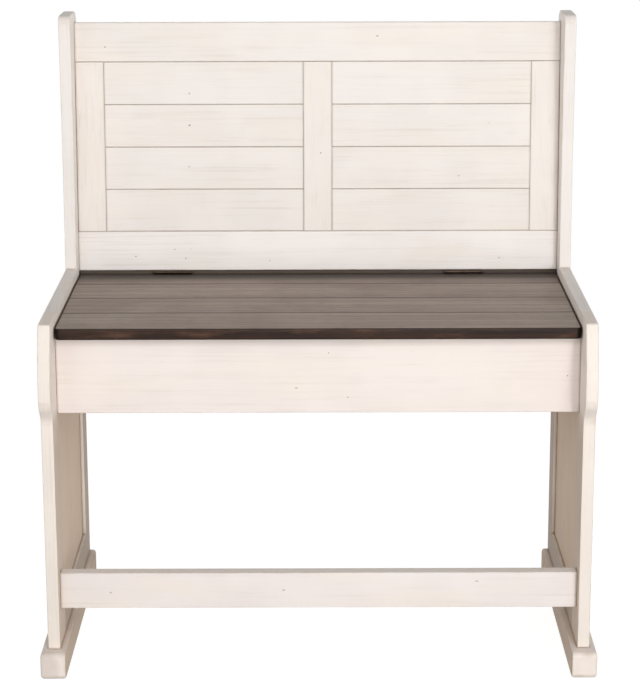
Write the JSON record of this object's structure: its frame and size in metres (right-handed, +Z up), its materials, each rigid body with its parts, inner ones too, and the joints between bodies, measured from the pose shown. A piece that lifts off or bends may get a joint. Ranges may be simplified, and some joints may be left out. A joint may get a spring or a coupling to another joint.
{
  "type": "storage bench",
  "caption": "Counter-height wooden bench with pew-style end panels on sled feet, a leaning planked back, a foot rail and a plank seat that lifts as the lid of a box.",
  "frame": {"origin": "on the floor, under the middle of the bench", "axes": "+Z up, the front faces -Y, +X to the sitter's left"},
  "size_m": [0.953, 0.572, 1.0875],
  "materials": {
    "white_paint": "antique white paint with a thin glaze in the joints",
    "dark_stain": "dark brown stain under satin varnish",
    "bare_wood": "bare softwood",
    "plywood": "bare plywood",
    "bronze": "dark bronze plating",
    "steel": "zinc plated",
    "nylon": "moulded nylon"
  },
  "bodies": {
    "frame": {"left_front_stile": "white_paint", "left_post": "white_paint", "left_arm_rail": "white_paint", "left_bottom_rail": "white_paint", "left_infill_panel": "white_paint", "left_foot": "white_paint", "right_front_stile": "white_paint", "right_post": "white_paint", "right_arm_rail": "white_paint", "right_bottom_rail": "white_paint", "right_infill_panel": "white_paint", "right_foot": "white_paint", "back_bottom_rail": "white_paint", "back_top_rail": "white_paint", "back_left_stile": "white_paint", "back_middle_stile": "white_paint", "back_right_stile": "white_paint", "back_left_plank_1": "white_paint", "back_left_plank_2": "white_paint", "back_left_plank_3": "white_paint", "back_left_plank_4": "white_paint", "back_right_plank_1": "white_paint", "back_right_plank_2": "white_paint", "back_right_plank_3": "white_paint", "back_right_plank_4": "white_paint", "foot_rail": "white_paint", "front_apron": "white_paint", "rear_apron": "white_paint", "seat_rear_rail": "dark_stain", "front_floor_cleat": "bare_wood", "rear_floor_cleat": "bare_wood", "front_left_corner_block": "bare_wood", "front_right_corner_block": "bare_wood", "rear_left_corner_block": "bare_wood", "rear_right_corner_block": "bare_wood", "storage_floor": "plywood", "left_hinge_frame_leaf": "bronze", "left_hinge_pin": "bronze", "right_hinge_frame_leaf": "bronze", "right_hinge_pin": "bronze", "front_left_corner_bolt": "steel", "front_right_corner_bolt": "steel", "rear_left_corner_bolt": "steel", "rear_right_corner_bolt": "steel", "front_left_glide": "nylon", "front_right_glide": "nylon", "rear_left_glide": "nylon", "rear_right_glide": "nylon"},
    "lid": {"seat_plank_1": "dark_stain", "seat_plank_2": "dark_stain", "seat_plank_3": "dark_stain", "seat_plank_4": "dark_stain", "lid_left_batten": "bare_wood", "lid_middle_batten": "bare_wood", "lid_right_batten": "bare_wood", "left_hinge_lid_leaf": "bronze", "right_hinge_lid_leaf": "bronze"}
  },
  "joints": [
    {"name": "lid_hinge", "type": "hinge", "parent": "frame", "child": "lid", "pos_m": [0, 0.2045, 0.6103], "axis": [-1, 0, 0], "range_deg": [0, 94.7]}
  ]
}
